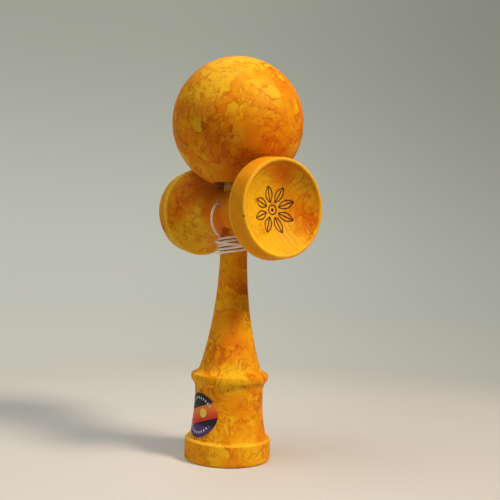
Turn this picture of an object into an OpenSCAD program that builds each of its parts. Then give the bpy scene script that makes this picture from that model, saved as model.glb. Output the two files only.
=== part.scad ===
// Kendama: a turned wooden handle (ken) with a spike and a cup under its foot, a pushed-on
// cross-piece (sarado) with a cup at each end, and a bored ball (tama) that rests on the spike
// and is tied on by a string wound round the neck. Millimetres, +Z up, +X towards the big cup.

/* [Ken, the handle] */
// Diameter of the body at its narrowest
body_d = 30.8; // [26:0.1:36]
// Height of the body's narrowest place
body_z = 27; // [24:0.5:30]
// Radius of the body's hollow curve
body_curve_r = 70; // [50:1:150]
// How far the foot ring stands out beyond the body's narrowest place
foot_step = 4.1; // [3:0.1:7]
// Height of the foot ring
foot_h = 10; // [7:0.5:12]
// Width of the flat ring that the handle stands on
foot_rim = 2.7; // [1.5:0.1:6]
// Depth of the cup under the foot
base_cup_depth = 6.5; // [4:0.5:9]
// How far the collar stands out beyond the body's narrowest place
collar_step = 2.15; // [1:0.05:4]
// Height of the middle of the collar
collar_z = 37.3; // [36:0.1:42]
// Height of the collar's band
collar_h = 2.8; // [2:0.1:4]
// Diameter of the neck where it leaves the collar
neck_foot_d = 27.2; // [20:0.1:30]
// Diameter of the neck under the cross-piece
neck_d = 12.2; // [10:0.1:14]
// How late the neck widens on its way down: 1 is a straight cone
neck_curve = 2.35; // [1.5:0.05:3]
// How much narrower the taper is on top of the cross-piece
taper_drop = 1.3; // [0.6:0.1:2]
// Length of the spike above the cross-piece
spike_len = 33; // [26:0.5:38]
// Diameter of the spike's rounded tip
spike_tip_d = 6; // [4:0.5:8]

/* [Sarado, the cross-piece] */
// Height of the cross-piece's axis
sarado_z = 113; // [105:0.5:125]
// Length over both cups
sarado_len = 72.4; // [66:0.2:80]
// Diameter of the waist
waist_d = 20; // [17:0.1:24]
// Largest diameter of the big cup
big_cup_d = 44.8; // [40:0.1:50]
// Length of the big cup's outer wall, with its lip
big_wall_len = 8.8; // [6:0.1:12]
// Depth of the big cup
big_cup_depth = 9; // [6:0.5:12]
// Largest diameter of the small cup
small_cup_d = 42.2; // [37:0.1:46]
// Length of the small cup's outer wall, with its lip
small_wall_len = 8.2; // [6:0.1:12]
// Depth of the small cup
small_cup_depth = 8; // [5:0.5:11]
// Radius of both cups' lips
lip_r = 1.6; // [1:0.1:2.2]

/* [Tama, the ball] */
// Diameter of the ball
tama_d = 60; // [56:0.5:68]
// Diameter of the ball's hole
tama_hole_d = 20.5; // [18:0.1:23]
// Width of the bevel at the hole's mouth
tama_bevel = 0.75; // [0.3:0.05:1.5]
// Gap between the ball and the cross-piece that it rests on
tama_rest_gap = 0.3; // [0.2:0.05:0.6]
// Room between the spike's tip and the knot under the bead
spike_room = 2.6; // [1.5:0.1:4]

/* [String] */
// Diameter of the string
string_d = 1.1; // [0.9:0.05:1.3]
// Diameter of the holes that the string passes through
string_hole_d = 2.4; // [2:0.1:3]
// Height of the string holes above the cross-piece's axis
string_hole_up = 2.7; // [0:0.1:4]
// Diameter of the bead inside the ball
bead_d = 8; // [6:0.5:10]
// Diameter of the knots
knot_d = 3.6; // [3:0.1:4]
// Turns of the winding's under layer
winding_turns = 5; // [3:1:6]
// Gap between one turn of the winding and the next
turn_gap = 0.5; // [0.45:0.05:0.8]
// Height from the winding's first turn to the underside of the waist
winding_drop = 1; // [0.8:0.1:3]

/* [Sticker] */
// Diameter of the round sticker
sticker_d = 19.5; // [14:0.5:21]
// Thickness of the sticker
sticker_t = 0.2; // [0.1:0.05:0.4]
// Height of the sticker's lower edge above the foot ring
sticker_up = 1.25; // [0.8:0.05:3]

/* [Hidden] */
$fn = 128;

wood = "#dd8d22";
wood_inside = "#e0a04a";
cream = "#efe6d2";
dark_blue = "#1d1b33";

// Clearances of the pieces that fit one another
push_fit = 0.03;
sticker_gap = 0.06;
bead_gap = 0.1;
cord_gap = 0.12;
knot_room = 0.6;
bead_bore_room = 0.9;

// Small rounds and bevels of the handle: heights of the collar's slopes, and what bends them
foot_round = 1.3;
foot_fillet = 0.6;
collar_bulge = 0.2;
collar_under_h = 2.9;
collar_under_bend = [0.2, 1.2];
collar_over_h = 3.3;
collar_over_bend = [0.6, -2.3];
neck_end_drop = 1.7;

// Places along the handle
waist_r = waist_d / 2;
spike_d = neck_d - taper_drop;
neck_foot_z = collar_z + collar_h / 2 + collar_over_h;
neck_top_z = sarado_z - waist_r - neck_end_drop;
spike_z = sarado_z + waist_r;
spike_top_z = spike_z + spike_len;
string_hole_z = sarado_z + string_hole_up;

// Steps of the round stretches of an outline
arc_steps = 10;
long_steps = 24;

// Points on an arc about c, and on a curve from a to b that is drawn towards m
function arc(c, r, from, to, steps = arc_steps) =
    [for (i = [0:steps]) let (a = from + (to - from) * i / steps) c + r * [cos(a), sin(a)]];
function curve(a, m, b, steps = arc_steps) =
    [for (i = [0:steps]) let (t = i / steps) a * (1 - t) * (1 - t) + m * 2 * t * (1 - t) + b * t * t];

// A round dish from its edge, at radius edge_r and height edge_z, to its lowest point on the axis
function dish(edge_r, edge_z, bottom_z, steps = long_steps) =
    let (depth = edge_z - bottom_z,
         round_r = (edge_r * edge_r + depth * depth) / (2 * depth),
         half = asin(edge_r / round_r))
    [for (i = [steps:-1:0]) let (a = half * i / steps)
        [i == 0 ? 0 : round_r * sin(a), bottom_z + round_r * (1 - cos(a))]];

// Radius of the handle's hollow body, and of the sheet that lies off units outside it
function body_r(z, off = 0) =
    body_d / 2 + body_curve_r - sqrt(pow(body_curve_r - off, 2) - pow(z - body_z, 2));

// Radius of the neck, which narrows in a long curve from the collar to the cross-piece
function neck_r(z) =
    let (down = max(neck_top_z - z, 0) / (neck_top_z - neck_foot_z))
    neck_d / 2 + (neck_foot_d - neck_d) / 2 * pow(down, neck_curve);

// Radius of the taper that the cross-piece is pushed on to
function taper_r(z) =
    neck_d / 2 + (spike_d - neck_d) / 2 * (z - neck_top_z) / (spike_z - neck_top_z);

// Outline of the handle, as radius and height, from the base cup up to the spike's tip
foot_r = body_d / 2 + foot_step;
base_cup_r = foot_r - foot_round - foot_rim;
body_low_z = foot_h + foot_fillet;
body_high_z = collar_z - collar_h / 2 - collar_under_h;
collar_edge_r = body_d / 2 + collar_step - collar_bulge;
spike_tip_r = spike_tip_d / 2;
spike_tip_lean = 4;
function base_cup_outline() =
    let (down = dish(base_cup_r, 0, -base_cup_depth))
    [for (i = [len(down) - 1:-1:0]) [down[i][0], -down[i][1]]];
function foot_outline() = concat(
    arc([foot_r - foot_round, foot_round], foot_round, -90, 0),
    arc([foot_r - foot_round, foot_h - foot_round], foot_round, 0, 90),
    arc([body_r(body_low_z) + foot_fillet, body_low_z], foot_fillet, -90, -180));
function body_outline() =
    [for (i = [1:long_steps]) let (z = body_low_z + (body_high_z - body_low_z) * i / long_steps)
        [body_r(z), z]];
function collar_outline() =
    let (body_end = [body_r(body_high_z), body_high_z],
         low = [collar_edge_r, collar_z - collar_h / 2],
         high = [collar_edge_r, collar_z + collar_h / 2],
         neck_start = [neck_foot_d / 2, neck_foot_z])
    concat(
        curve(body_end, body_end + collar_under_bend, low),
        curve(low, [collar_edge_r + 2 * collar_bulge, collar_z], high),
        curve(high, neck_start + collar_over_bend, neck_start));
function neck_outline() =
    [for (i = [1:long_steps]) let (z = neck_foot_z + (neck_top_z - neck_foot_z) * i / long_steps)
        [neck_r(z), z]];
function spike_outline() =
    concat([[spike_d / 2, spike_z]],
           arc([0, spike_top_z - spike_tip_r], spike_tip_r, spike_tip_lean, 90 - spike_tip_lean),
           [[0, spike_top_z]]);

// The handle: foot, body, collar, neck, taper and spike, with the knot's hole drilled across it
knot_seat_y = 1.4;
knot_hole_d = knot_d + knot_room;
module ken() {
    color(wood)
    difference() {
        rotate_extrude()
            polygon(concat(base_cup_outline(), foot_outline(), body_outline(), collar_outline(),
                           neck_outline(), spike_outline()));
        translate([0, 0, string_hole_z])
            rotate([90, 0, 0])
                cylinder(h = neck_d, d = string_hole_d);
        translate([0, 0, string_hole_z])
            rotate([-90, 0, 0])
                cylinder(h = knot_seat_y, d = string_hole_d);
        translate([0, knot_seat_y, string_hole_z])
            rotate([-90, 0, 0])
                cylinder(h = neck_d, d = knot_hole_d);
    }
}

// Outline of the cross-piece, as radius and place along its axis, from the small cup to the big one
half_len = sarado_len / 2;
lip_in = 140;
big_wall_lean = 0.9;
small_wall_lean = 1.35;
big_edge_s = half_len - big_wall_len;
small_edge_s = small_wall_len - half_len;
function flare_bend(edge_r, edge_s) =
    (edge_s * edge_s + pow(edge_r - waist_r, 2)) / (2 * (edge_r - waist_r));
function flare_r(s, bend) = waist_r + bend - sqrt(bend * bend - s * s);
big_bend = flare_bend(big_cup_d / 2, big_edge_s);
small_bend = flare_bend(small_cup_d / 2, small_edge_s);
function flare_outline(from, to, bend) =
    [for (i = [0:long_steps]) let (s = from + (to - from) * i / long_steps) [flare_r(s, bend), s]];
function cup_outline(cup_d, wall_len, wall_lean, depth) =
    let (lip_out = atan(wall_lean / (wall_len - lip_r)),
         lip = arc([cup_d / 2 - wall_lean - lip_r, half_len - lip_r], lip_r, lip_out, lip_in),
         last = lip[len(lip) - 1])
    concat(lip, dish(last[0], last[1], half_len - depth));
function big_cup_outline() = cup_outline(big_cup_d, big_wall_len, big_wall_lean, big_cup_depth);
function small_cup_outline() =
    let (out = cup_outline(small_cup_d, small_wall_len, small_wall_lean, small_cup_depth))
    [for (i = [len(out) - 1:-1:0]) [out[i][0], -out[i][1]]];

// The cross-piece: a waisted spool with two cups, bored to the handle's taper
hole_bevel = 0.7;
module sarado() {
    color(wood)
    difference() {
        translate([0, 0, sarado_z])
            rotate([0, 90, 0])
                rotate_extrude()
                    polygon(concat(small_cup_outline(), flare_outline(small_edge_s, 0, small_bend),
                                   flare_outline(0, big_edge_s, big_bend), big_cup_outline()));
        taper_bore();
        translate([0, 0, string_hole_z])
            rotate([90, 0, 0])
                cylinder(h = waist_d, d = string_hole_d);
        string_hole_bevel();
    }
}
module taper_bore() {
    low = sarado_z - waist_d;
    high = sarado_z + waist_d;
    translate([0, 0, low])
        cylinder(h = high - low, r1 = taper_r(low) + push_fit, r2 = taper_r(high) + push_fit);
}
module string_hole_bevel() {
    face_y = sqrt(waist_r * waist_r - string_hole_up * string_hole_up);
    translate([0, -face_y + hole_bevel, string_hole_z])
        rotate([90, 0, 0])
            cylinder(h = 3 * hole_bevel, d1 = string_hole_d, d2 = string_hole_d + 6 * hole_bevel);
}

// The ball's place: the edge of its hole rests on the cross-piece's flare beside the spike
tama_r = tama_d / 2;
mouth_r = tama_hole_d / 2 + tama_bevel;
mouth_z = sarado_z + flare_r(mouth_r, big_bend) + tama_rest_gap;
tama_z = mouth_z + sqrt(tama_r * tama_r - mouth_r * mouth_r);

// A stopper knot is two round wraps; the knot and the bead hang over the spike's tip, and the bead
// seats in the cone that the drill left at the end of the ball's hole
wrap_share = 0.46;
wrap_overlap = 0.1;
wrap_d = wrap_share * knot_d;
wrap_up = wrap_d / 2 * (1 - wrap_overlap);
knot_half = wrap_up + wrap_d / 2;
bead_r = bead_d / 2;
bead_flat = 0.6;
bead_half_h = bead_r - bead_flat;
bead_hole_d = string_d + bead_bore_room;
drill_half = 59;
bead_knot_z = spike_top_z + spike_room + knot_half;
bead_z = bead_knot_z + knot_half + cord_gap + bead_half_h;
drill_tip_z = bead_z + (bead_r + bead_gap) / sin(drill_half);
hole_top_z = drill_tip_z - tama_hole_d / 2 / tan(drill_half);
funnel_d = 6;
funnel_h = 1.8;

// The ball: a sphere with the spike's hole, the drill's conical end and the string's hole above it
module tama() {
    color(wood)
    difference() {
        translate([0, 0, tama_z]) sphere(d = tama_d);
        translate([0, 0, tama_z - tama_r])
            cylinder(h = hole_top_z - tama_z + tama_r, d = tama_hole_d);
        translate([0, 0, hole_top_z])
            cylinder(h = drill_tip_z - hole_top_z, d1 = tama_hole_d, d2 = 0);
        translate([0, 0, mouth_z - tama_bevel])
            cylinder(h = 2 * tama_bevel, d1 = tama_hole_d + 4 * tama_bevel, d2 = tama_hole_d);
        translate([0, 0, hole_top_z])
            cylinder(h = tama_d, d = string_hole_d);
        translate([0, 0, tama_z + tama_r - funnel_h])
            cylinder(h = 2 * funnel_h, d1 = string_hole_d, d2 = 2 * funnel_d - string_hole_d);
    }
}

// The bead, which stays on the string while the ball spins round it
module bead() {
    color(wood_inside)
    translate([0, 0, bead_z])
        difference() {
            intersection() {
                sphere(d = bead_d);
                cylinder(h = 2 * bead_half_h, d = 2 * bead_d, center = true);
            }
            cylinder(h = 2 * bead_d, d = bead_hole_d, center = true);
        }
}

// The knots at the string's two ends, one in the handle and one under the bead
module knot() {
    color(cream)
    union() {
        for (side = [-1, 1])
            translate([0, 0, side * wrap_up])
                rotate_extrude()
                    translate([knot_d / 2 - wrap_d / 2, 0]) circle(d = wrap_d);
        cylinder(h = wrap_d, d = knot_d - wrap_d, center = true);
    }
}
module ken_knot() {
    translate([0, knot_seat_y + cord_gap + knot_half, string_hole_z])
        rotate([90, 0, 0])
            knot();
}
module bead_knot() {
    translate([0, 0, bead_knot_z]) knot();
}

// The round sticker on the body, under the string hole's side of the cross-piece
sticker_spare = 1;
sheet_steps = 9;
sticker_z = foot_h + sticker_up + sticker_d / 2;
module body_filled(off) {
    low = sticker_z - sticker_d / 2 - sticker_spare;
    high = sticker_z + sticker_d / 2 + sticker_spare;
    rotate_extrude()
        polygon(concat([[0, low]],
                       [for (i = [0:sheet_steps]) let (z = low + (high - low) * i / sheet_steps)
                           [body_r(z, off), z]],
                       [[0, high]]));
}
module sticker() {
    color(dark_blue)
    difference() {
        intersection() {
            body_filled(sticker_gap + sticker_t);
            translate([0, 0, sticker_z])
                rotate([90, 0, 0])
                    cylinder(h = body_d, d = sticker_d);
        }
        body_filled(sticker_gap);
    }
}

// A smooth line through the route's points, with a number of steps from each point to the next
function smooth(route, steps) =
    let (n = len(route),
         p = concat([2 * route[0] - route[1]], route, [2 * route[n - 1] - route[n - 2]]))
    concat([for (i = [1:n - 1]) for (k = [0:steps - 1]) let (t = k / steps)
               (2 * p[i] + (p[i + 1] - p[i - 1]) * t
                + (2 * p[i - 1] - 5 * p[i] + 4 * p[i + 1] - p[i + 2]) * t * t
                + (3 * p[i] - p[i - 1] - 3 * p[i + 1] + p[i + 2]) * t * t * t) / 2],
           [route[n - 1]]);

// A round tube of diameter d along a line, as rings whose sides are carried from one to the next
function unit(v) = v / norm(v);
function heading(line, i) = unit(line[min(i + 1, len(line) - 1)] - line[max(i - 1, 0)]);
function carried(side, ahead) = unit(side - (side * ahead) * ahead);
function ring_sides(line, side, i = 0) =
    i == len(line) ? [] :
    let (next = carried(side, heading(line, i))) concat([next], ring_sides(line, next, i + 1));
first_side = [0.3, 0.4, 0.9];
module tube(line, d, corners) {
    rings = len(line);
    sides = ring_sides(line, first_side);
    points = [for (i = [0:rings - 1]) for (k = [0:corners - 1])
        let (a = 360 * k / corners, across = cross(heading(line, i), sides[i]))
        line[i] + d / 2 * (cos(a) * sides[i] + sin(a) * across)];
    last = (rings - 1) * corners;
    walls = [for (i = [0:rings - 2]) for (k = [0:corners - 1])
        let (a = i * corners + k, b = i * corners + (k + 1) % corners)
        each [[a, a + corners, b], [b, a + corners, b + corners]]];
    caps = [for (k = [1:corners - 2]) each [[0, k, k + 1], [last, last + k + 1, last + k]]];
    color(cream) polyhedron(points, concat(walls, caps));
}

// The winding: down the neck in an under layer, then once more round over it on the way back up
rings_per_turn = 24;
winding_start = 240;
winding_lean = 0.9;
winding_lean_to = 55;
over_turns = 1.2;
over_rise = 9;
over_rise_from = 0.25;
over_rise_ease = 0.3;
step_out_from = -0.1;
step_out_turns = 0.25;
winding_end = winding_turns + over_turns;
function ease(t) = let (u = min(max(t, 0), 1)) u * u * (3 - 2 * u);
function ramp(t, w) = t < 0 ? 0 : t < w ? t * t / (2 * w) : t - w / 2;
function winding_point(t) =
    let (a = winding_start - 360 * t,
         after = t - winding_turns,
         down = (string_d + turn_gap) * min(t, winding_turns),
         up = over_rise * ramp(after - over_rise_from, over_rise_ease),
         out = (string_d + turn_gap) * ease((after - step_out_from) / step_out_turns),
         z = sarado_z - waist_r - winding_drop - down + up + winding_lean * cos(a - winding_lean_to),
         r = neck_r(z) + cord_gap + string_d / 2 + out)
    [r * cos(a), r * sin(a), z];
winding_steps = round(winding_end * rings_per_turn);
winding_turned = [for (i = [0:winding_steps]) winding_point(i / rings_per_turn)];
winding_in = winding_turned[0] + string_d * unit(winding_turned[0] - winding_turned[1]);
winding_out = winding_turned[winding_steps]
    + string_d * unit(winding_turned[winding_steps] - winding_turned[winding_steps - 1]);
winding_line = concat([winding_in], winding_turned, [winding_out]);

// Least gap of the winding to itself, on points along its middle line
gap_per_turn = 60;
gap_last = round(winding_end * gap_per_turn);
gap_points = [for (i = [0:gap_last]) winding_point(i / gap_per_turn)];
winding_gap = min([for (i = [0:gap_last]) for (j = [i + gap_per_turn / 2:gap_last])
    norm(gap_points[i] - gap_points[j])]) - string_d;
echo(winding_least_gap = winding_gap, winding_in = winding_in, winding_out = winding_out);

// Routes of the string's free stretches: from the handle's knot out of the cross-piece to the winding,
// and from the winding up the back of the ball into the hole at its top
lead_route = [
    [0, 3, 115.7], [0, -3, 115.7], [0, -7.5, 115.7], [0, -9.8, 115.4], [-0.1, -11.4, 113.9],
    [-0.3, -12.2, 111.8], [-0.5, -12.4, 109.4], [-0.7, -12.1, 107.1], [-0.9, -11.2, 104.9],
    [-1, -9.2, 102.4], [-1.8, -7.6, 101.4], [-2.5, -6.5, 101.1]];
riser_route = [
    [-7.9, 3.2, 101.3], [-7.6, 4.9, 101.6], [-6.9, 7.1, 102.5], [-5.9, 9.4, 104.5], [-4.8, 11.9, 107.7],
    [-3.6, 14.6, 112], [-2.2, 18, 118], [-1, 21.7, 126], [0, 25.4, 134],
    [0, 28, 139], [0, 30, 144.5], [0, 31, 150], [0, 31, 156], [0, 30, 161.5], [0, 28, 166.5],
    [0, 25.5, 171], [0, 22, 175], [0, 17.5, 178.5], [0, 13, 181], [0, 9, 182.5], [0, 6, 183.4],
    [0, 3.6, 183.6], [0, 1.8, 182.8], [0, 0.6, 181.4], [0, 0, 180]];
free_steps = 2;
free_corners = 8;
wound_corners = 6;
lead_line = smooth(lead_route, free_steps);
riser_line = smooth(riser_route, free_steps);
core_top_z = riser_route[len(riser_route) - 1][2] - cord_gap;
core_steps = 8;
core_line = [for (i = [0:core_steps]) [0, 0, core_top_z + (bead_knot_z - core_top_z) * i / core_steps]];
module string_lead() { tube(lead_line, string_d, free_corners); }
module string_winding() { tube(winding_line, string_d, wound_corners); }
module string_riser() { tube(riser_line, string_d, free_corners); }
module string_core() { tube(core_line, string_d, free_corners); }

ken();
sarado();
tama();
sticker();
bead();
ken_knot();
bead_knot();
string_lead();
string_winding();
string_riser();
string_core();
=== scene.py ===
"""Looks of a wooden kendama: marble-dyed turned wood, twisted string, a round sticker and a studio.

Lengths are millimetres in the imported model's frame: +Z up, +X towards the big cup, -Y the string's side.
MM turns them into metres where a mesh, a bump, a lamp or the camera is made.
"""

import math
from collections import namedtuple

import bpy
from mathutils import Matrix, Vector


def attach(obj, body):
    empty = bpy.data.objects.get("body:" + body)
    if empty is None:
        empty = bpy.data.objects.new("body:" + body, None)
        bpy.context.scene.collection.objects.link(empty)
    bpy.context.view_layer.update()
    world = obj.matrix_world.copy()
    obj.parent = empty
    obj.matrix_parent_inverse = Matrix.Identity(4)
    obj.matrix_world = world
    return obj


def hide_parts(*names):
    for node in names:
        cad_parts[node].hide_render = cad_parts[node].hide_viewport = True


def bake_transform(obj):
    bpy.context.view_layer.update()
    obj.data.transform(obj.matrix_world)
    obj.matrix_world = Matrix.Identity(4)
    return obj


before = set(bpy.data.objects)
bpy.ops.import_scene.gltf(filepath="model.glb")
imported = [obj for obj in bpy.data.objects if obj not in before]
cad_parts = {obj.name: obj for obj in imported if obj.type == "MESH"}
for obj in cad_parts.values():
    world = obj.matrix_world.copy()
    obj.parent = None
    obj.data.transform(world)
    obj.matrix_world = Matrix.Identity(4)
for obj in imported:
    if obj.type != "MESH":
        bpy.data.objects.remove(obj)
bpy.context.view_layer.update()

MM = 0.001
UP = Vector((0, 0, 1))
BACK = Vector((0, 1, 0))

# The photograph's camera, fitted to the kendama's outline, and the size of its picture in pixels

CAMERA_AT = (295.8, -205.2, 92.7)
CAMERA_AHEAD = (-0.8098, 0.5867, 0.0066)
CAMERA_ROLL = 0.03346
FOCAL_PIXELS = 786.3
PICTURE_PIXELS = 500
SENSOR = 36.0
NEAREST_SEEN = 10


def add_to_scene(name, data):
    """A new object in the scene, from a mesh, a lamp or a camera."""
    made = bpy.data.objects.new(name, data)
    bpy.context.scene.collection.objects.link(made)
    return made


def camera():
    """The camera at the photograph's place, with its tilt and field of view."""
    ahead = Vector(CAMERA_AHEAD).normalized()
    right = ahead.cross(UP).normalized()
    over = right.cross(ahead)
    across = math.cos(CAMERA_ROLL) * right + math.sin(CAMERA_ROLL) * over
    upward = -math.sin(CAMERA_ROLL) * right + math.cos(CAMERA_ROLL) * over
    data = bpy.data.cameras.new("camera")
    data.sensor_width = SENSOR
    data.lens = SENSOR * FOCAL_PIXELS / PICTURE_PIXELS
    data.clip_start = NEAREST_SEEN * MM
    made = add_to_scene("camera", data)
    turn = Matrix((across, upward, -ahead)).transposed().to_4x4()
    made.matrix_world = Matrix.Translation(Vector(CAMERA_AT) * MM) @ turn
    bpy.context.scene.camera = made


# Outlines of turned pieces, as (radius, along) pairs

def spaced(low, high, steps):
    """Evenly spaced numbers from low to high."""
    return [low + (high - low) * i / steps for i in range(steps + 1)]


def arc(middle, radius, start, end, steps=16):
    """Points on an arc, from one angle to another in degrees."""
    angles = [math.radians(a) for a in spaced(start, end, steps)]
    return [(middle[0] + radius * math.cos(a), middle[1] + radius * math.sin(a)) for a in angles]


def curve(start, pull, end, steps=16):
    """Points on a curve from start to end that is drawn towards pull."""
    def between(a, m, b, t):
        return a * (1 - t) ** 2 + 2 * m * t * (1 - t) + b * t * t
    return [tuple(between(start[k], pull[k], end[k], t) for k in (0, 1)) for t in spaced(0, 1, steps)]


def dish(edge_r, edge, bottom, steps=40):
    """A round dish from its edge to its lowest point on the axis."""
    depth = edge - bottom
    radius = (edge_r ** 2 + depth ** 2) / (2 * depth)
    half = math.asin(edge_r / radius)
    angles = spaced(half, 0, steps)[:-1]
    return [(radius * math.sin(a), bottom + radius * (1 - math.cos(a))) for a in angles] + [(0, bottom)]


def shifted(point, by):
    """A point of an outline, moved."""
    return point[0] + by[0], point[1] + by[1]


def softened(first, second, size):
    """Two stretches of an outline joined at their shared corner, which is rounded off by size."""
    corner = Vector(first[-1])
    before = [p for p in first if (Vector(p) - corner).length > size]
    after = [p for p in second if (Vector(p) - corner).length > size]
    start = corner + (Vector(before[-1]) - corner).normalized() * size
    end = corner + (Vector(after[0]) - corner).normalized() * size
    return before + curve(start, corner, end, 6) + after


# Meshes

SIDES = 192
SHARP_ANGLE = 35


def mesh_object(name, points, faces):
    """A smooth-shaded mesh object from points in millimetres."""
    mesh = bpy.data.meshes.new(name)
    mesh.from_pydata([Vector(p) * MM for p in points], [], faces)
    mesh.validate()
    mesh.shade_smooth()
    return add_to_scene(name, mesh)


def ring_walls(rings, sides):
    """Faces between rings of points that follow one another."""
    faces = []
    for ring in range(rings - 1):
        for k in range(sides):
            a = ring * sides + k
            b = ring * sides + (k + 1) % sides
            faces.append((a, b, b + sides, a + sides))
    return faces


def lathe(name, outline, place, sides=SIDES):
    """A turned surface, closed at an end of its outline that lies on the axis.

    place turns radius, angle and along into a point.
    """
    rings = [pair for pair in outline if pair[0] > 0]
    angles = [2 * math.pi * k / sides for k in range(sides)]
    points = [place(radius, angle, along) for radius, along in rings for angle in angles]
    faces = ring_walls(len(rings), sides)
    if outline[0][0] == 0:
        faces += [(len(points), (k + 1) % sides, k) for k in range(sides)]
        points.append(place(0, 0, outline[0][1]))
    if outline[-1][0] == 0:
        tail = (len(rings) - 1) * sides
        faces += [(len(points), tail + k, tail + (k + 1) % sides) for k in range(sides)]
        points.append(place(0, 0, outline[-1][1]))
    return mesh_object(name, points, faces)


def bored(piece, outline, place, material):
    """Cuts a turned hole out of the piece; the hole's wall takes the material."""
    cutter = lathe("cutter", outline, place)
    cutter.data.materials.append(material)
    cut = piece.modifiers.new("bore", "BOOLEAN")
    cut.object = cutter
    cut.solver = "EXACT"
    cut.material_mode = "TRANSFER"
    bpy.context.view_layer.update()
    seen = piece.evaluated_get(bpy.context.evaluated_depsgraph_get())
    mesh = bpy.data.meshes.new_from_object(seen)
    piece.modifiers.clear()
    piece.data = mesh
    mesh.set_sharp_from_angle(angle=math.radians(SHARP_ANGLE))
    bpy.data.objects.remove(cutter)


# The handle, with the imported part's sizes and softer edges

SARADO_Z = 113
WAIST_R = 10
BODY_R = 15.4
BODY_Z = 27
BODY_CURVE_R = 70
FOOT_R = 19.5
FOOT_H = 10
FOOT_RIM = 2.7
FOOT_ROUND = 1.3
FOOT_FILLET = 0.6
BASE_CUP_R = FOOT_R - FOOT_ROUND - FOOT_RIM
BASE_CUP_DEPTH = 6.5
BASE_CUP_SOFT = 0.35
BODY_LOW_Z = FOOT_H + FOOT_FILLET
BODY_HIGH_Z = 33
COLLAR_Z = 37.3
COLLAR_H = 2.8
COLLAR_BULGE = 0.2
COLLAR_EDGE_R = 17.35
COLLAR_UNDER_BEND = (0.2, 1.2)
COLLAR_OVER_BEND = (0.6, -2.3)
COLLAR_SOFT = 0.25
NECK_FOOT = (13.6, 42)
NECK_R = 6.1
NECK_TOP_Z = 101.3
NECK_CURVE = 2.35
SPIKE_Z = SARADO_Z + WAIST_R
SPIKE_R = 5.45
SPIKE_LEN = 33
SPIKE_TOP_Z = SPIKE_Z + SPIKE_LEN
SPIKE_TIP_R = 3
SPIKE_TIP_LEAN = 4

# Holes in the handle and in the cross-piece
FIT = 0.03
BORE_REACH = 14
STRING_HOLE_UP = 2.7
STRING_HOLE_Z = SARADO_Z + STRING_HOLE_UP
STRING_HOLE_R = 1.2
KNOT_HOLE_R = 2.1
KNOT_SEAT_Y = 1.4
DRILL_REACH = 9
HOLE_OUTER_Y = -11
HOLE_INNER_Y = -3
HOLE_BEVEL = 2.1


def upright(radius, angle, along):
    """A point of a piece that is turned about the handle's axis."""
    return radius * math.cos(angle), radius * math.sin(angle), along


def sideways(radius, angle, along):
    """A point of a hole that is drilled along Y, at the string's height."""
    return radius * math.sin(angle), along, STRING_HOLE_Z + radius * math.cos(angle)


def body_r(z):
    """Radius of the handle's hollow body."""
    return BODY_R + BODY_CURVE_R - math.sqrt(BODY_CURVE_R ** 2 - (z - BODY_Z) ** 2)


def neck_r(z):
    """Radius of the neck, which narrows in a long curve from the collar to the cross-piece."""
    share = max(NECK_TOP_Z - z, 0) / (NECK_TOP_Z - NECK_FOOT[1])
    return NECK_R + (NECK_FOOT[0] - NECK_R) * share ** NECK_CURVE


def taper_r(z):
    """Radius of the taper that holds the cross-piece."""
    return NECK_R + (SPIKE_R - NECK_R) * (z - NECK_TOP_Z) / (SPIKE_Z - NECK_TOP_Z)


def foot_outline():
    """The foot from the middle of the cup under it to its upper side."""
    base_cup = [(r, -z) for r, z in reversed(dish(BASE_CUP_R, 0, -BASE_CUP_DEPTH))]
    round_r = FOOT_R - FOOT_ROUND
    lower = arc((round_r, FOOT_ROUND), FOOT_ROUND, -90, 0)
    upper = arc((round_r, FOOT_H - FOOT_ROUND), FOOT_ROUND, 0, 90)
    return softened(base_cup, [(BASE_CUP_R, 0)] + lower + upper, BASE_CUP_SOFT)


def body_outline():
    """The hollow body from its fillet on the foot to the collar."""
    fillet = arc((body_r(BODY_LOW_Z) + FOOT_FILLET, BODY_LOW_Z), FOOT_FILLET, -90, -180)
    return fillet + [(body_r(z), z) for z in spaced(BODY_LOW_Z, BODY_HIGH_Z, 40)[1:-1]]


def collar_outline():
    """The collar from the body to the foot of the neck."""
    body_end = (body_r(BODY_HIGH_Z), BODY_HIGH_Z)
    low = (COLLAR_EDGE_R, COLLAR_Z - COLLAR_H / 2)
    high = (COLLAR_EDGE_R, COLLAR_Z + COLLAR_H / 2)
    under = curve(body_end, shifted(body_end, COLLAR_UNDER_BEND), low)
    band = curve(low, (COLLAR_EDGE_R + 2 * COLLAR_BULGE, COLLAR_Z), high)
    over = curve(high, shifted(NECK_FOOT, COLLAR_OVER_BEND), NECK_FOOT)
    return softened(softened(under, band, COLLAR_SOFT), over, COLLAR_SOFT)


def handle_outline():
    """The handle from the middle of its base cup up to the spike's tip."""
    neck = [(neck_r(z), z) for z in spaced(NECK_FOOT[1], NECK_TOP_Z, 60)[1:]]
    tip_middle = (0, SPIKE_TOP_Z - SPIKE_TIP_R)
    tip = arc(tip_middle, SPIKE_TIP_R, SPIKE_TIP_LEAN, 90 - SPIKE_TIP_LEAN / 2)
    spike = [(SPIKE_R, SPIKE_Z)] + tip + [(0, SPIKE_TOP_Z)]
    return foot_outline() + body_outline() + collar_outline() + neck + spike


def make_handle(dyed, bare):
    """The turned handle, with the string's hole and the knot's hole drilled across it."""
    handle = lathe("handle", handle_outline(), upright)
    handle.data.materials.append(dyed)
    drill = [
        (0, -DRILL_REACH), (STRING_HOLE_R, -DRILL_REACH), (STRING_HOLE_R, KNOT_SEAT_Y),
        (KNOT_HOLE_R, KNOT_SEAT_Y), (KNOT_HOLE_R, DRILL_REACH), (0, DRILL_REACH)]
    bored(handle, drill, sideways, bare)
    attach(handle, "ken")
    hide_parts("ken")


# The cross-piece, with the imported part's sizes but for its lips, which are crisper here

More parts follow.
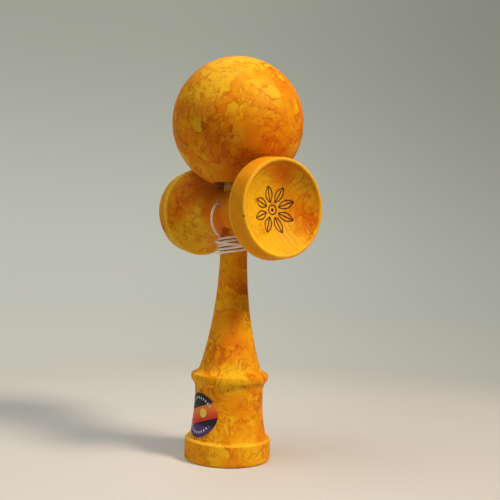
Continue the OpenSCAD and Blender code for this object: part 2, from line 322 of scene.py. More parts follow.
Cup = namedtuple("Cup", "radius edge lean depth")
BIG_CUP = Cup(radius=22.4, edge=27.4, lean=0.9, depth=9)
SMALL_CUP = Cup(radius=21.1, edge=28, lean=1.35, depth=8)
HALF_LEN = 36.2
LIP_R = 1.0
LIP_IN = 140
WALL_SOFT = 0.4
HOLLOW_R = BIG_CUP.radius - BIG_CUP.lean - LIP_R


def crosswise(radius, angle, along):
    """A point of a piece that is turned about the cross-piece's axis."""
    return along, radius * math.cos(angle), SARADO_Z + radius * math.sin(angle)


def flare_outline(cup):
    """The cross-piece's waisted side, from its middle to the back edge of a cup's wall."""
    widening = cup.radius - WAIST_R
    bend = (cup.edge ** 2 + widening ** 2) / (2 * widening)
    return [(WAIST_R + bend - math.sqrt(bend ** 2 - s ** 2), s) for s in spaced(0, cup.edge, 40)]


def cup_outline(cup):
    """A cup from the back edge of its leaning wall, round its lip, to the middle of its floor."""
    lip_s = HALF_LEN - LIP_R
    lip_out = math.degrees(math.atan2(cup.lean, lip_s - cup.edge))
    lip = arc((cup.radius - cup.lean - LIP_R, lip_s), LIP_R, lip_out, LIP_IN)
    return [(cup.radius, cup.edge)] + lip + dish(*lip[-1], HALF_LEN - cup.depth)[1:]


def sarado_outline():
    """The cross-piece from the floor of its small cup to the floor of its big cup."""
    small = softened(flare_outline(SMALL_CUP), cup_outline(SMALL_CUP), WALL_SOFT)
    big = softened(flare_outline(BIG_CUP), cup_outline(BIG_CUP), WALL_SOFT)
    return [(r, -s) for r, s in reversed(small)] + big[1:]


def make_sarado(dyed, bare):
    """The cross-piece, bored for the handle and drilled for the string."""
    sarado = lathe("cross_piece", sarado_outline(), crosswise)
    sarado.data.materials.append(dyed)
    low, high = SARADO_Z - BORE_REACH, SARADO_Z + BORE_REACH
    taper = [(0, low), (taper_r(low) + FIT, low), (taper_r(high) + FIT, high), (0, high)]
    bored(sarado, taper, upright, bare)
    drill = [
        (0, HOLE_OUTER_Y), (STRING_HOLE_R + HOLE_BEVEL, HOLE_OUTER_Y),
        (STRING_HOLE_R, HOLE_OUTER_Y + HOLE_BEVEL), (STRING_HOLE_R, HOLE_INNER_Y), (0, HOLE_INNER_Y)]
    bored(sarado, drill, sideways, bare)
    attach(sarado, "ken")
    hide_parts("sarado")


# The string: its course down to the neck and up behind the ball, its winding, its twist and its knots

STRING_D = 1.1
STRING_GAP = 0.12
STRING_STEP = 0.28
LEAD = [
    (0, 3, STRING_HOLE_Z), (0, -3, STRING_HOLE_Z), (0, -7.5, STRING_HOLE_Z), (0, -9.8, 115.4),
    (-0.1, -11.4, 113.9), (-0.3, -12.2, 111.8), (-0.5, -12.4, 109.4), (-0.7, -12.1, 107.1),
    (-0.9, -11.2, 104.9), (-1, -9.2, 102.4), (-1.8, -7.6, 101.4), (-2.5, -6.5, 101.1)]
RISER = [
    (-7.9, 3.2, 101.3), (-7.6, 4.9, 101.6), (-6.9, 7.1, 102.5), (-5.9, 9.4, 104.5), (-4.8, 11.9, 107.7),
    (-3.6, 14.6, 112), (-2.2, 18, 118), (-1, 21.7, 126), (0, 25.4, 134),
    (0, 28, 139), (0, 30, 144.5), (0, 31, 150), (0, 31, 156), (0, 30, 161.5), (0, 28, 166.5),
    (0, 25.5, 171), (0, 22, 175), (0, 17.5, 178.5), (0, 13, 181), (0, 9, 182.5), (0, 6, 183.4),
    (0, 3.6, 183.6), (0, 1.8, 182.8), (0, 0.6, 181.4), (0, 0, 180)]

# The winding: angles in degrees, and where the over layer starts in turns after the under layer
TURN_GAP = 0.5
TURN_PITCH = STRING_D + TURN_GAP
TURN_POINTS = 24
UNDER_TURNS = 5
OVER_TURNS = 1.2
WINDING_START = 240
WINDING_TOP_Z = 102
WINDING_LEAN = 0.9
WINDING_LEAN_TO = 55
OVER_RISE = 9
OVER_RISE_FROM = 0.25
OVER_RISE_EASE = 0.3
STEP_OUT_FROM = -0.1
STEP_OUT_TURN = 0.25

# The twist: LAY is in diameters, GROOVE in shares of the radius
STRANDS = 3
STRING_CORNERS = 24
LAY = 5.5
GROOVE = 0.10
STRAND_CURVE = 0.7
FIRST_SIDE = (0.3, 0.4, 0.9)

# The knots: their turns, and where they lie in the ball and in the handle
KNOT_R = 1.25
KNOT_HALF = 1.1
KNOT_LEAD_IN = 1.4
KNOT_TURNS = 2.2
KNOT_FIRST_TURN = 0.25
KNOT_WIDENS = 0.12
BEAD_KNOT_Z = 160.2
BALL_HOLE_Z = 179.9
KEN_KNOT_Y = 3.1
KEN_KNOT_START_Y = 1


def smooth_step(t):
    """A smooth rise from 0 to 1."""
    t = min(max(t, 0), 1)
    return t * t * (3 - 2 * t)


def winding_point(turn):
    """A point of the winding: down the neck in an under layer, then round over it on the way up."""
    angle = math.radians(WINDING_START - 360 * turn)
    over = turn - UNDER_TURNS
    rise = max(over - OVER_RISE_FROM, 0)
    eased = rise ** 2 / (2 * OVER_RISE_EASE) if rise < OVER_RISE_EASE else rise - OVER_RISE_EASE / 2
    out = TURN_PITCH * smooth_step((over - STEP_OUT_FROM) / STEP_OUT_TURN)
    lean = WINDING_LEAN * math.cos(angle - math.radians(WINDING_LEAN_TO))
    z = WINDING_TOP_Z - TURN_PITCH * min(turn, UNDER_TURNS) + OVER_RISE * eased + lean
    radius = neck_r(z) + STRING_GAP + STRING_D / 2 + out
    return radius * math.cos(angle), radius * math.sin(angle), z


def through(points):
    """Points a short step apart on a smooth line through the given ones."""
    given = [Vector(p) for p in points]
    padded = [2 * given[0] - given[1]] + given + [2 * given[-1] - given[-2]]
    line = []
    for a, b, c, d in zip(padded, padded[1:], padded[2:], padded[3:]):
        count = max(1, round((c - b).length / STRING_STEP))
        for k in range(count):
            t = k / count
            squared = (2 * a - 5 * b + 4 * c - d) * t ** 2
            cubed = (3 * b - a - 3 * c + d) * t ** 3
            line.append((2 * b + (c - a) * t + squared + cubed) / 2)
    return line + [given[-1]]


def twisted(name, line, material):
    """A string of a few strands, twisted together once every LAY diameters, along a line."""
    side = Vector(FIRST_SIDE)
    points = []
    turn = 0.0
    for i, at in enumerate(line):
        before, after = line[max(i - 1, 0)], line[min(i + 1, len(line) - 1)]
        ahead = (after - before).normalized()
        side = (side - side.dot(ahead) * ahead).normalized()
        across = ahead.cross(side)
        turn += 2 * math.pi * (at - before).length / (LAY * STRING_D)
        for k in range(STRING_CORNERS):
            angle = 2 * math.pi * k / STRING_CORNERS
            crest = abs(math.cos((angle - turn) * STRANDS / 2)) ** STRAND_CURVE
            radius = STRING_D / 2 * (1 - GROOVE + GROOVE * crest)
            points.append(at + radius * (math.cos(angle) * side + math.sin(angle) * across))
    last = (len(line) - 1) * STRING_CORNERS
    ends = [tuple(reversed(range(STRING_CORNERS))), tuple(range(last, last + STRING_CORNERS))]
    made = mesh_object(name, points, ends + ring_walls(len(line), STRING_CORNERS))
    made.data.materials.append(material)
    return made


def stopper_knot(middle, along, start):
    """A line that comes in along its axis from start, then winds round it in a stopper knot."""
    side = Vector((1, 0, 0))
    across = along.cross(side)
    wound = []
    for t in spaced(0, 1, 40):
        angle = 2 * math.pi * (KNOT_TURNS * t + KNOT_FIRST_TURN)
        radius = KNOT_R * smooth_step(t / KNOT_WIDENS)
        on_axis = middle + along * KNOT_HALF * (2 * t - 1)
        wound.append(on_axis + radius * (math.cos(angle) * side + math.sin(angle) * across))
    return through([start, middle - along * KNOT_LEAD_IN] + wound)


def make_string(material):
    """The string from its hole round the neck to the ball's top, and its two knotted ends."""
    count = round((UNDER_TURNS + OVER_TURNS) * TURN_POINTS)
    winding = [winding_point(i / TURN_POINTS) for i in range(1, count)]
    line = through(LEAD + winding + RISER)
    string = twisted("string", line, material)
    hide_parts("string_lead", "string_winding", "string_riser")
    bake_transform(string)
    inside = stopper_knot(Vector((0, 0, BEAD_KNOT_Z)), -UP, Vector((0, 0, BALL_HOLE_Z)))
    core = twisted("string_in_ball", inside, material)
    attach(core, "string_end")
    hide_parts("string_core", "bead_knot")
    knot_start = Vector((0, KEN_KNOT_START_Y, STRING_HOLE_Z))
    tail = stopper_knot(Vector((0, KEN_KNOT_Y, STRING_HOLE_Z)), BACK, knot_start)
    knot = twisted("knot_in_handle", tail, material)
    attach(knot, "ken")
    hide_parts("ken_knot")


# Colours, in linear light

YELLOW = (0.91, 0.50, 0.014)
GOLD = (0.86, 0.345, 0.007)
ORANGE = (0.83, 0.252, 0.004)
DEEP_ORANGE = (0.74, 0.162, 0.003)
RUST = (0.46, 0.085, 0.003)
# The colour of the painted highlights on the cross-piece's edges and on the foot's upper edge
HIGHLIGHT_YELLOW = (0.97, 0.68, 0.05)
BARE_WOOD = (0.72, 0.45, 0.19)
BURNT = (0.050, 0.015, 0.014)
CREAM = (0.98, 0.92, 0.77)
SOILED_CREAM = (0.80, 0.66, 0.48)

# Materials, in millimetres on the piece

SEED_SPREAD = 1000


class Shader:
    """A material's nodes, made by short calls that return sockets."""

    def __init__(self, name):
        self.material = bpy.data.materials.new(name)
        self.material.use_nodes = True
        self.tree = self.material.node_tree
        self.surface = self.tree.nodes["Principled BSDF"]

    def node(self, kind, **settings):
        """A new node with the given settings."""
        made = self.tree.nodes.new(kind)
        for name, value in settings.items():
            setattr(made, name, value)
        return made

    def put(self, socket, value):
        """Links a socket to the input, or sets the input to a number, a vector or a colour."""
        if isinstance(value, bpy.types.NodeSocket):
            self.tree.links.new(value, socket)
        elif socket.type == "RGBA":
            socket.default_value = (*value, 1)
        else:
            socket.default_value = value

    def math(self, operation, a, b=0.0):
        """One step of arithmetic on numbers."""
        made = self.node("ShaderNodeMath", operation=operation)
        self.put(made.inputs[0], a)
        self.put(made.inputs[1], b)
        return made.outputs[0]

    def plus(self, a, b):
        """The sum."""
        return self.math("ADD", a, b)

    def minus(self, a, b):
        """The difference."""
        return self.math("SUBTRACT", a, b)

    def times(self, a, b):
        """The product."""
        return self.math("MULTIPLY", a, b)

    def most(self, first, *others):
        """The largest of some values."""
        for other in others:
            first = self.math("MAXIMUM", first, other)
        return first

    def unsigned(self, value):
        """The value without its sign."""
        return self.math("ABSOLUTE", value)

    def length(self, a, b):
        """Length of the flat vector (a, b)."""
        return self.math("SQRT", self.plus(self.times(a, a), self.times(b, b)))

    def vector(self, operation, a, b):
        """One step of arithmetic on vectors."""
        made = self.node("ShaderNodeVectorMath", operation=operation)
        self.put(made.inputs[0], a)
        self.put(made.inputs[3 if operation == "SCALE" else 1], b)
        return made.outputs["Value" if operation in ("DISTANCE", "DOT_PRODUCT") else "Vector"]

    def parts(self, vector):
        """The three numbers of a vector."""
        made = self.node("ShaderNodeSeparateXYZ")
        self.put(made.inputs[0], vector)
        return made.outputs[0], made.outputs[1], made.outputs[2]

    def at(self):
        """Place on the piece."""
        return self.vector("SCALE", self.node("ShaderNodeTexCoord").outputs["Object"], 1 / MM)

    def noise(self, at, size, seed, detail=2.0, roughness=0.5, out="Fac"):
        """Noise with lumps of the given size. Blender scales W too, so the seeds are spread wide."""
        made = self.node("ShaderNodeTexNoise", noise_dimensions="4D")
        self.put(made.inputs["Vector"], at)
        made.inputs["W"].default_value = seed * SEED_SPREAD
        made.inputs["Scale"].default_value = 1 / size
        made.inputs["Detail"].default_value = detail
        made.inputs["Roughness"].default_value = roughness
        return made.outputs[out]

    def step(self, value, low, high):
        """A smooth rise from 0 at low to 1 at high, or a fall where low is above high."""
        made = self.node("ShaderNodeMapRange", interpolation_type="SMOOTHSTEP")
        self.put(made.inputs["Value"], value)
        rising = low < high
        made.inputs["From Min"].default_value = min(low, high)
        made.inputs["From Max"].default_value = max(low, high)
        made.inputs["To Min"].default_value = 0 if rising else 1
        made.inputs["To Max"].default_value = 1 if rising else 0
        return made.outputs["Result"]

    def below(self, value, limit, soft):
        """1 below the limit and 0 above it, with a soft edge."""
        return self.step(value, limit + soft, limit - soft)

    def within(self, value, low, high, soft):
        """1 between two limits and 0 outside them, with soft edges."""
        return self.times(self.step(value, low - soft, low + soft), self.below(value, high, soft))

    def band(self, value, level, width):
        """1 where the value is at the level, falling to 0 a width away."""
        return self.step(self.unsigned(self.minus(value, level)), width, width * 0.25)

    def spot(self, at, middle, radius, soft):
        """1 inside a ball round a place, falling to 0 over a soft edge."""
        return self.below(self.vector("DISTANCE", at, middle), radius, soft)

    def ramp(self, value, stops):
        """Colours from (value, colour) stops, smoothly in between."""
        made = self.node("ShaderNodeValToRGB")
        made.color_ramp.interpolation = "EASE"
        low, high = stops[0][0], stops[-1][0]
        self.put(made.inputs["Fac"], self.math("DIVIDE", self.minus(value, low), high - low))
        marks = made.color_ramp.elements
        while len(marks) < len(stops):
            marks.new(0.5)
        for mark, (place, colour) in zip(marks, stops):
            mark.position = (place - low) / (high - low)
            mark.color = (*colour, 1)
        return made.outputs["Color"]

    def mix(self, share, a, b):
        """Colour a with a share of colour b."""
        made = self.node("ShaderNodeMix", data_type="RGBA")
        self.put(made.inputs["Factor"], share)
        self.put(made.inputs["A"], a)
        self.put(made.inputs["B"], b)
        return made.outputs["Result"]

    def bump(self, pattern, height):
        """Bumps of the given height, where the pattern is high."""
        made = self.node("ShaderNodeBump")
        made.inputs["Distance"].default_value = height * MM
        self.put(made.inputs["Height"], pattern)
        self.put(self.surface.inputs["Normal"], made.outputs["Normal"])

    def finish(self, colour, roughness, specular=0.5):
        """The material, with its colour and gloss."""
        self.put(self.surface.inputs["Base Color"], colour)
        self.put(self.surface.inputs["Roughness"], roughness)
        self.surface.inputs["Specular IOR Level"].default_value = specular
        return self.material


# Marbled dye: sizes of its forms, how far they bend it, and the tones from most dye to least

SWIRL_SIZE, SWIRL_PUSH = 18, 15
CURL_SIZE, CURL_PUSH = 4.5, 4
CLOUD_SIZE, CLOUD_SHARE = 15, 1.2
# The lobes' sizes, each with the strength of its edges
LOBES = ((14, 0.55), (8, 0.50), (5, 0.38), (3.2, 0.18))
LOBE_LEVEL = 0.53
LOBE_PATCH = 9
EDGE_DARK, EDGE_STEP, EDGE_LIGHT = -0.14, 0.006, 0.20
RIM_OUTER, RIM_DARKEST, RIM_INNER = -0.05, -0.014, 0.005
WISP_SIZE, WISP_PATCH = 3, 10
RUST_SHARE = 0.55
BLOT_SOFT = 0.8
TONES = ((-0.38, DEEP_ORANGE), (-0.12, ORANGE), (0.12, GOLD), (0.40, YELLOW))


def pushed(s, at, size, push, seed):
    """The place, pushed about by noise of the given size."""
    way = s.vector("SUBTRACT", s.noise(at, size, seed, out="Color"), (0.5, 0.5, 0.5))
    return s.vector("ADD", at, s.vector("SCALE", way, push))


def edges(s, value):
    """A crisp edge where the value is 0: 0.5 just above it, -0.5 just below, and fading both ways."""
    half, low, high = (0.5, 0.5, 0.5), (0, 0, 0), (1, 1, 1)
    stops = ((EDGE_DARK, half), (-EDGE_STEP, low), (EDGE_STEP, high), (EDGE_LIGHT, half))
    return s.minus(s.ramp(value, stops), 0.5)


def wisps(s, bent, curled, seed):
    """Thin rusty wisps that lie together in patches."""
    away = s.unsigned(s.minus(s.noise(curled, WISP_SIZE, seed + 11, 1.5), 0.5))
    patch = s.step(s.noise(bent, WISP_PATCH, seed + 13, 1.0), 0.55, 0.70)
    return s.times(s.step(away, 0.05, 0.01), patch)


def marble(s, at, seed, blots=(), lean=0.0, depth=1.0, line=1.0):
    """Marbled dye: lobes that lie over each other, pale inside their edges and rusty just outside them.

    blots steers it: (place, radius, push) with push above 0 towards yellow and below 0 towards deep
    orange; some blots paint light and shade.
    lean moves the whole tone, depth is its contrast and line the width of the rusty rims.
    """
    bent = pushed(s, at, SWIRL_SIZE, SWIRL_PUSH, seed)
    curled = pushed(s, bent, CURL_SIZE, CURL_PUSH, seed + 3)
    clouds = s.minus(s.noise(bent, CLOUD_SIZE, seed + 7, 3.0, 0.55), 0.5)
    tone = s.plus(s.times(clouds, CLOUD_SHARE * depth), lean)
    for middle, radius, push in blots:
        tone = s.plus(tone, s.times(s.spot(bent, middle, radius, radius * BLOT_SOFT), push))
    rust = wisps(s, bent, curled, seed)
    for size, lift in LOBES:
        lobe = s.minus(s.noise(curled, size, seed + size, 1.8), LOBE_LEVEL)
        patch = s.step(s.noise(at, LOBE_PATCH, seed + 2 * size, 1.0), 0.43, 0.66)
        tone = s.plus(tone, s.times(edges(s, lobe), s.times(patch, lift * depth)))
        outside = s.step(lobe, RIM_OUTER * line, RIM_DARKEST * line)
        rim = s.times(outside, s.step(lobe, RIM_INNER, RIM_DARKEST * line))
        rust = s.most(rust, s.times(rim, patch))
    return s.mix(s.times(rust, RUST_SHARE), s.ramp(tone, TONES), RUST)


def fibres(s, at, seed):
    """Fine wood fibres along the grain, from 0 to 1."""
    stretched = s.vector("MULTIPLY", at, (1, 1, 0.08))
    return s.noise(stretched, 0.5, seed, 3.0, 0.6)


def satin(s, colour, at, seed):
    """The dyed wood's satin finish: faint fibres in its colour, its gloss and its surface."""
    grain = fibres(s, at, seed)
    colour = s.mix(s.times(s.step(grain, 0.5, 0.75), 0.10), colour, DEEP_ORANGE)
    s.bump(grain, height=0.05)
    return s.finish(colour, roughness=s.plus(0.46, s.times(grain, 0.16)), specular=0.07)


# The ball's wood

BALL_MIDDLE = (0, 0, 152.9)
BALL_R = 30
DYE_DEPTH = 0.7
DYE_SOFT = 0.2
BALL_BLOTS = [
    ((15, -21, 170), 15, 0.20), ((14, -11, 177), 12, 0.15), ((20, -22, 150.5), 4, 0.15),
    ((6, -29, 152), 6, 0.2), ((8, -24, 137.5), 6, 0.2), ((28, -8, 161), 8, 0.3),
    ((17, -24, 154), 6, -0.15), ((28, -11, 150), 9, -0.1), ((24, -15, 143), 9, -0.15),
    ((16, -16, 133), 10, -0.2)]


def ball_wood():
    """The ball's dyed wood, which is bare inside its hole, where the dye doesn't reach."""
    s = Shader("ball_wood")
    at = s.at()
    undyed = s.spot(at, BALL_MIDDLE, BALL_R - DYE_DEPTH, DYE_SOFT)
    colour = s.mix(undyed, marble(s, at, 1.0, BALL_BLOTS), BARE_WOOD)
    return satin(s, colour, at, 40.0)


# The cross-piece's wood: the burnt rosette, the big cup's hollow and the painted highlights on its edges

ROSETTE_AT = (0, 0.5, SARADO_Z - 0.5)
PETALS = 8
PETAL_START = 3.2
PETAL_LEN = 7.6
PETAL_HALF = 1.75
BURNT_LINE = 0.5
RIB_HALF, RIB_SOFT = 0.31, 0.07
CIRCLE_R = 2.0
DOT_R, DOT_SOFT = 0.75, 0.15
WOOD_KNOT = (0, 21, 111)
RING_WIDTH = 2.5
RING_SQUASH = 0.75
RINGS_NEAR, RINGS_FAR = 12, 34
# Width of the painted shade under the big cup's lip, and the heights over which it grows stronger upwards
LIP_SHADE_WIDTH = 1.1
LIP_SHADE_LOW_Z, LIP_SHADE_HIGH_Z = SARADO_Z - 10, SARADO_Z + 8
# Widths of the painted highlights along the walls' back edges, at the big cup and at the small cup
BIG_EDGE_HIGHLIGHT, SMALL_EDGE_HIGHLIGHT = 0.9, 1.5
MARBLED_X, PLAIN_X, WALL_X = -14, -7, 20
HOLLOW_START, HOLLOW_SOFT = 26.65, 0.15
# The first blot lightens the hollow's left and the second its lower part; the third darkens its top under
# the lip: painted light and painted shade.
CUP_BLOTS = [
    ((31, -13, 117), 10, 0.5), ((31, -4, 100), 14, 0.45), ((34, 0, 131), 9, -0.25),
    ((34, 17, 109), 6, -0.35), ((34, 12, 125), 6, 0.35)]
SARADO_BLOTS = [
    ((-24, -9, 101), 7, 0.5), ((-15, -10, 107), 7, 0.45), ((-24, -15, 114), 9, -0.5),
    ((-20, -10, 122), 8, -0.2), ((-34, -18, 112), 9, 0.2)]
CUP_PINHOLE = (35.9, -20.5, 108.5)


def rosette(s, at):
    """A burnt mark on the cup's floor: a ring of outlined leaf shapes round a small circle."""
    y, z = s.parts(s.vector("SUBTRACT", at, ROSETTE_AT))[1:]
    out = s.length(y, z)
    sector = 2 * math.pi / PETALS
    folded = s.minus(s.math("FLOORED_MODULO", s.math("ARCTAN2", z, y), sector), sector / 2)
    along = s.times(out, s.math("COSINE", folded))
    aside = s.times(out, s.unsigned(s.math("SINE", folded)))
    share = s.math("DIVIDE", s.minus(along, PETAL_START), PETAL_LEN)
    half = s.times(s.math("SINE", s.times(share, math.pi)), PETAL_HALF)
    inside = s.within(share, 0.01, 0.99, 0.01)
    outline = s.times(s.band(s.minus(aside, half), 0, BURNT_LINE), inside)
    rib = s.times(s.below(aside, RIB_HALF, RIB_SOFT), inside)
    circle = s.band(out, CIRCLE_R, BURNT_LINE)
    dot = s.below(out, DOT_R, DOT_SOFT)
    return s.most(outline, rib, circle, dot)


def year_rings(s, at):
    """Dark lines of year rings round a knot at the cup's right edge, fainter further from it."""
    y, z = s.parts(s.vector("SUBTRACT", at, WOOD_KNOT))[1:]
    around = s.length(y, s.times(z, RING_SQUASH))
    wander = s.times(s.noise(at, 9, 30.0), 1.8)
    age = s.math("FRACT", s.plus(s.math("DIVIDE", around, RING_WIDTH), wander))
    ring = s.times(s.step(age, 0.45, 0.95), s.step(age, 1.0, 0.95))
    near = s.times(s.step(around, RINGS_FAR, RINGS_NEAR), 0.55)
    patch = s.step(s.noise(at, 8, 32.0, 1.0), 0.2, 0.5)
    return s.times(ring, s.times(patch, near))


def cup_grain(s, at, out):
    """The big cup's hollow: pale marbling, year rings, painted shade under its lip, and the rosette."""
    # Painted shade: a darker ring just under the lip, strongest in the hollow's upper part.
    upper = s.times(s.step(s.parts(at)[2], LIP_SHADE_LOW_Z, LIP_SHADE_HIGH_Z), 0.45)
    lip_shade = s.times(s.band(out, HOLLOW_R - LIP_SHADE_WIDTH, LIP_SHADE_WIDTH), upper)
    colour = marble(s, at, 5.0, CUP_BLOTS, lean=0.24, depth=0.8, line=0.5)
    colour = s.mix(s.most(year_rings(s, at), lip_shade), colour, DEEP_ORANGE)
    return s.mix(rosette(s, at), colour, BURNT)


def edge_highlights(s, at, x, out):
    """Painted highlights on the turned edges: faintly on both lips, and unevenly on the walls' back edges.
    """
    pale = s.times(s.step(s.unsigned(x), HALF_LEN - 0.5, HALF_LEN - 0.2), 0.45)
    uneven = s.plus(s.times(s.step(s.noise(at, 4, 22.0), 0.35, 0.6), 0.35), 0.65)
    for way, cup, width in ((1, BIG_CUP, BIG_EDGE_HIGHLIGHT), (-1, SMALL_CUP, SMALL_EDGE_HIGHLIGHT)):
        outer = s.step(out, cup.radius - width, cup.radius - 0.4)
        line = s.band(x, way * cup.edge, width)
        pale = s.most(pale, s.times(line, s.times(outer, uneven)))
    return s.times(pale, 0.8)


def sarado_wood():
    """The cross-piece's dyed wood: marbled at the small cup, plain at the waist with painted shade, pale
    in the big cup, with painted highlights on its edges.
    """
    s = Shader("sarado_wood")
    at = s.at()
    x, y, z = s.parts(at)
    out = s.length(y, s.minus(z, SARADO_Z))
    clouds = s.noise(at, 12, 20.0, 3.0)
    # The waist's darker tone is painted shade, where the cups and the ball shade it.
    waist = s.ramp(clouds, ((0.3, DEEP_ORANGE), (0.7, ORANGE)))
    wall = s.ramp(clouds, ((0.3, ORANGE), (0.6, GOLD)))
    plain = s.mix(s.step(x, WALL_X, BIG_CUP.edge), waist, wall)
    marbled = marble(s, at, 2.0, SARADO_BLOTS, lean=0.12, depth=0.85, line=1.2)
    colour = s.mix(s.times(s.step(x, MARBLED_X, PLAIN_X), 0.85), marbled, plain)
    deep = s.step(x, HOLLOW_START - HOLLOW_SOFT, HOLLOW_START + HOLLOW_SOFT)
    hollow = s.times(deep, s.step(out, HOLLOW_R + 0.2, HOLLOW_R - 0.4))
    colour = s.mix(hollow, colour, cup_grain(s, at, out))
    # Painted highlights on the lips and on the walls' back edges.
    colour = s.mix(edge_highlights(s, at, x, out), colour, HIGHLIGHT_YELLOW)
    pinhole = s.spot(at, CUP_PINHOLE, 0.4, 0.15)
    return satin(s, s.mix(pinhole, colour, BURNT), at, 41.0)


# The handle's wood, and bare wood

# Height of the painted highlight along the foot's upper edge
FOOT_HIGHLIGHT_Z = FOOT_H - 0.4
# The last blot darkens the top of the neck under the cross-piece: painted shade.
HANDLE_BLOTS = [
    ((12, -15, 6), 6, 0.2), ((19, 2, 6), 6, 0.25), ((16, -6, 39), 6, 0.45), ((9, -6, 50), 7, -0.3),
    ((8, -3, 62), 4, -0.2), ((15, -4, 24), 5, -0.15), ((1, -6, 103.5), 5, -0.7)]
# Painted shade on the top of the neck, under the cross-piece
NECK_SHADE = (1.5, -6, 103.6)
COLLAR_PINHOLE = (16.6, -4.4, 37.5)


def handle_wood():
    """The handle's dyed wood, paler on the spike, with a painted highlight on the foot's upper edge and
    painted shade on the neck.
    """
    s = Shader("handle_wood")
    at = s.at()
    z = s.parts(at)[2]
    colour = marble(s, at, 3.0, HANDLE_BLOTS, lean=0.10, depth=0.7, line=1.4)
    colour = s.mix(s.times(s.step(z, SPIKE_Z - 1, SPIKE_Z + 1), 0.6), colour, BARE_WOOD)
    # Painted highlight: a pale line along the foot's upper edge.
    colour = s.mix(s.times(s.band(z, FOOT_HIGHLIGHT_Z, 0.5), 0.5), colour, HIGHLIGHT_YELLOW)
    # Painted shade: a rusty dark spot at the top of the neck, under the cross-piece.
    colour = s.mix(s.times(s.spot(at, NECK_SHADE, 2.0, 1.2), 0.8), colour, RUST)
    pinhole = s.spot(at, COLLAR_PINHOLE, 0.35, 0.12)
    return satin(s, s.mix(pinhole, colour, BURNT), at, 42.0)


def bare_wood():
    """Undyed wood in the bores and on the bead."""
    s = Shader("bare_wood")
    grain = fibres(s, s.at(), 43.0)
    s.bump(grain, height=0.08)
    return s.finish(s.mix(s.step(grain, 0.4, 0.75), BARE_WOOD, GOLD), roughness=0.6)


# The string's fibre and the sticker's print

STICKER_Z = 21
STICKER_R = 9.75
INK = (0.010, 0.010, 0.020)
INK_ORANGE = (0.85, 0.23, 0.04)
INK_RED = (0.66, 0.035, 0.02)
INK_PURPLE = (0.075, 0.035, 0.17)
INK_YELLOW = (0.80, 0.66, 0.09)
INK_WHITE = (0.75, 0.74, 0.72)

# The print's layout, in shares of the sticker's radius
PURPLE_TOP, PURPLE_SOFT = -0.45, 0.10
BAND_SLANT = 0.35
BAND_LOW, BAND_HIGH = -0.345, 0.365
PRINT_SOFT = 0.015
SUN_AT = (0.28, 0.12)
SUN_R = 0.205
DASHES = 32
DASH_RING, DASH_WIDTH = 0.78, 0.075
DASH_START, DASH_SOFT = 0.43, 0.03


def string_fibre():
    """The string's cream fibre, a little soiled in places."""
    s = Shader("string_fibre")
    at = s.at()
    soiled = s.step(s.noise(at, 9, 51.0), 0.45, 0.75)
    s.bump(s.noise(at, 0.18, 50.0, 3.0, 0.7), height=0.06)
    s.surface.inputs["Sheen Weight"].default_value = 0.8
    s.surface.inputs["Sheen Roughness"].default_value = 0.4
    return s.finish(s.mix(s.times(soiled, 0.15), CREAM, SOILED_CREAM), roughness=0.85)


def sticker_print():
    """The sticker's print: a slanting sunset band with a round sun, and two arcs of dashes."""
    s = Shader("sticker_print")
    at = s.at()
    flat = s.vector("SCALE", s.vector("SUBTRACT", at, (0, 0, STICKER_Z)), 1 / STICKER_R)
    u, _, v = s.parts(flat)
    colour = s.mix(s.below(v, PURPLE_TOP, PURPLE_SOFT), INK, INK_PURPLE)
    slant = s.minus(v, s.times(u, BAND_SLANT))
    sunset = s.ramp(slant, ((-0.30, INK_RED), (0.25, INK_ORANGE)))
    colour = s.mix(s.within(slant, BAND_LOW, BAND_HIGH, PRINT_SOFT), colour, sunset)
    from_sun = s.length(s.minus(u, SUN_AT[0]), s.minus(v, SUN_AT[1]))
    colour = s.mix(s.below(from_sun, SUN_R, PRINT_SOFT), colour, INK_YELLOW)
    beat = s.math("SINE", s.times(s.math("ARCTAN2", v, u), DASHES))
    ends = s.step(s.unsigned(v), DASH_START - DASH_SOFT, DASH_START + DASH_SOFT)
    arcs = s.times(s.band(s.length(u, v), DASH_RING, DASH_WIDTH), ends)
    colour = s.mix(s.times(s.step(beat, 0.1, 0.4), arcs), colour, INK_WHITE)
    paper = s.noise(at, 0.4, 60.0)
    s.bump(paper, height=0.02)
    return s.finish(s.mix(s.times(paper, 0.015), colour, INK_WHITE), roughness=0.5, specular=0.2)


# The studio

# The sweep's size and its paper; RIGHTWARD is level and points to the photograph's right
FLOOR_R = 340
SWEEP_CURVE_R = 300
SWEEP_TOP_Z = 1400
SWEEP_SIDES = 96
FLOOR_PAPER = (0.72, 0.70, 0.685)
FLOOR_SPECK = (0.70, 0.68, 0.665)
# The paper's darker tone towards the photograph's right: painted shade
FLOOR_SHADED_RIGHT = (0.60, 0.577, 0.565)
BACKDROP_TONES = ((0, (0.552, 0.54, 0.456)), (40, (0.518, 0.522, 0.449)), (410, (0.345, 0.354, 0.294)))
BACKDROP_DIM = (0.2, 0.2, 0.16)
RIGHTWARD = (0.587, 0.810, 0)
FLOOR_NEAR, FLOOR_FAR = 170, 360
# The share of the backdrop's glow on the floor near the kendama: painted light that lightens the kendama's
# shadow
FLOOR_GLOW = 0.16
UNSEEN_GLOW = 0.1

# The lamps and the room
LAMP_TARGET = (0, 0, 100)
LAMP_AWAY = 900
ROOM_COLOUR = (0.90, 0.95, 1.0)
ROOM_STRENGTH = 0.12


def stage():
    """A pale floor that rises into a wall all round."""
    rise = arc((FLOOR_R, SWEEP_CURVE_R), SWEEP_CURVE_R, 0, -90, 32)
    floor = [(r, 0) for r in spaced(FLOOR_R, 0, 17)[1:]]
    outline = [(FLOOR_R + SWEEP_CURVE_R, SWEEP_TOP_Z)] + rise + floor
    sweep = lathe("sweep", outline, upright, SWEEP_SIDES)
    sweep.visible_shadow = False
    sweep.data.materials.append(sweep_paper())


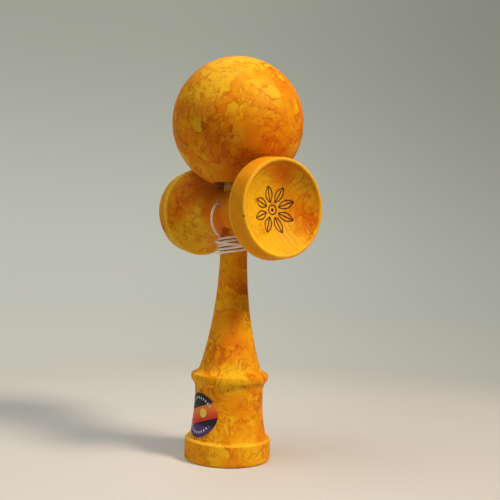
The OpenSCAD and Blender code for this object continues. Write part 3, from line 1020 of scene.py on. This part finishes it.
def sweep_paper():
    """The sweep's paper: warm and lit near the kendama, and a grey backdrop further out.

    The backdrop dims upwards and to the photograph's right, and shines only a little on the kendama.
    """
    s = Shader("sweep_paper")
    at = s.at()
    height = s.parts(at)[2]
    aside = s.vector("DOT_PRODUCT", at, RIGHTWARD)
    paper = s.mix(s.noise(at, 0.6, 70.0), FLOOR_PAPER, FLOOR_SPECK)
    # Painted shade: the paper darkens towards the photograph's right.
    paper = s.mix(s.step(aside, -20, 140), paper, FLOOR_SHADED_RIGHT)
    s.finish(paper, roughness=0.9, specular=0.1)
    dim = s.times(s.step(aside, -150, 500), s.plus(s.times(height, 0.9 * MM), 0.55))
    backdrop = s.node("ShaderNodeEmission")
    s.put(backdrop.inputs["Color"], s.mix(dim, s.ramp(height, BACKDROP_TONES), BACKDROP_DIM))
    rays = s.node("ShaderNodeLightPath").outputs
    seen = s.most(rays["Is Camera Ray"], rays["Is Glossy Ray"], rays["Is Transmission Ray"])
    s.put(backdrop.inputs["Strength"], s.plus(s.times(seen, 1 - UNSEEN_GLOW), UNSEEN_GLOW))
    far = s.step(s.vector("DISTANCE", at, (0, 0, 0)), FLOOR_NEAR, FLOOR_FAR)
    blend = s.node("ShaderNodeMixShader")
    # Painted light: near the kendama the floor takes a share of the glow, which lightens its shadow.
    s.put(blend.inputs[0], s.most(far, FLOOR_GLOW))
    s.put(blend.inputs[1], s.surface.outputs[0])
    s.put(blend.inputs[2], backdrop.outputs[0])
    s.put(s.tree.nodes["Material Output"].inputs["Surface"], blend.outputs[0])
    return s.material


def lamp(name, azimuth, elevation, size, watts, colour):
    """A square soft lamp that looks at the middle of the kendama."""
    data = bpy.data.lights.new(name, "AREA")
    data.size = size * MM
    data.energy = watts
    data.color = colour
    made = add_to_scene(name, data)
    a, e = math.radians(azimuth), math.radians(elevation)
    from_middle = Vector((math.cos(a) * math.cos(e), math.sin(a) * math.cos(e), math.sin(e)))
    made.location = (Vector(LAMP_TARGET) + from_middle * LAMP_AWAY) * MM
    made.rotation_mode = "QUATERNION"
    made.rotation_quaternion = from_middle.to_track_quat("Z", "Y")


def light():
    """Warm lamps at the right, soft ones overhead, at the left and behind, and a dim room."""
    lamp("key", azimuth=19, elevation=46, size=200, watts=8.1, colour=(1.0, 0.82, 0.64))
    lamp("side", azimuth=50, elevation=15, size=400, watts=0.8, colour=(1.0, 0.90, 0.75))
    lamp("overhead", azimuth=-90, elevation=75, size=600, watts=3.8, colour=(0.97, 1.0, 0.94))
    lamp("fill", azimuth=-105, elevation=20, size=600, watts=2.0, colour=(1.0, 0.98, 0.90))
    lamp("back", azimuth=145, elevation=35, size=600, watts=1.0, colour=(0.97, 1.0, 0.94))
    world = bpy.data.worlds.new("room")
    world.use_nodes = True
    room = world.node_tree.nodes["Background"].inputs
    room["Color"].default_value = (*ROOM_COLOUR, 1)
    room["Strength"].default_value = ROOM_STRENGTH
    bpy.context.scene.world = world


def dress(node, material):
    """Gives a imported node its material."""
    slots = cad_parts[node].material_slots
    slots[0].material = material


bpy.context.scene.view_settings.view_transform = "Standard"
camera()
make_string(string_fibre())
bare = bare_wood()
make_handle(handle_wood(), bare)
make_sarado(sarado_wood(), bare)
dress("tama", ball_wood())
dress("bead", bare)
dress("sticker", sticker_print())
stage()
light()
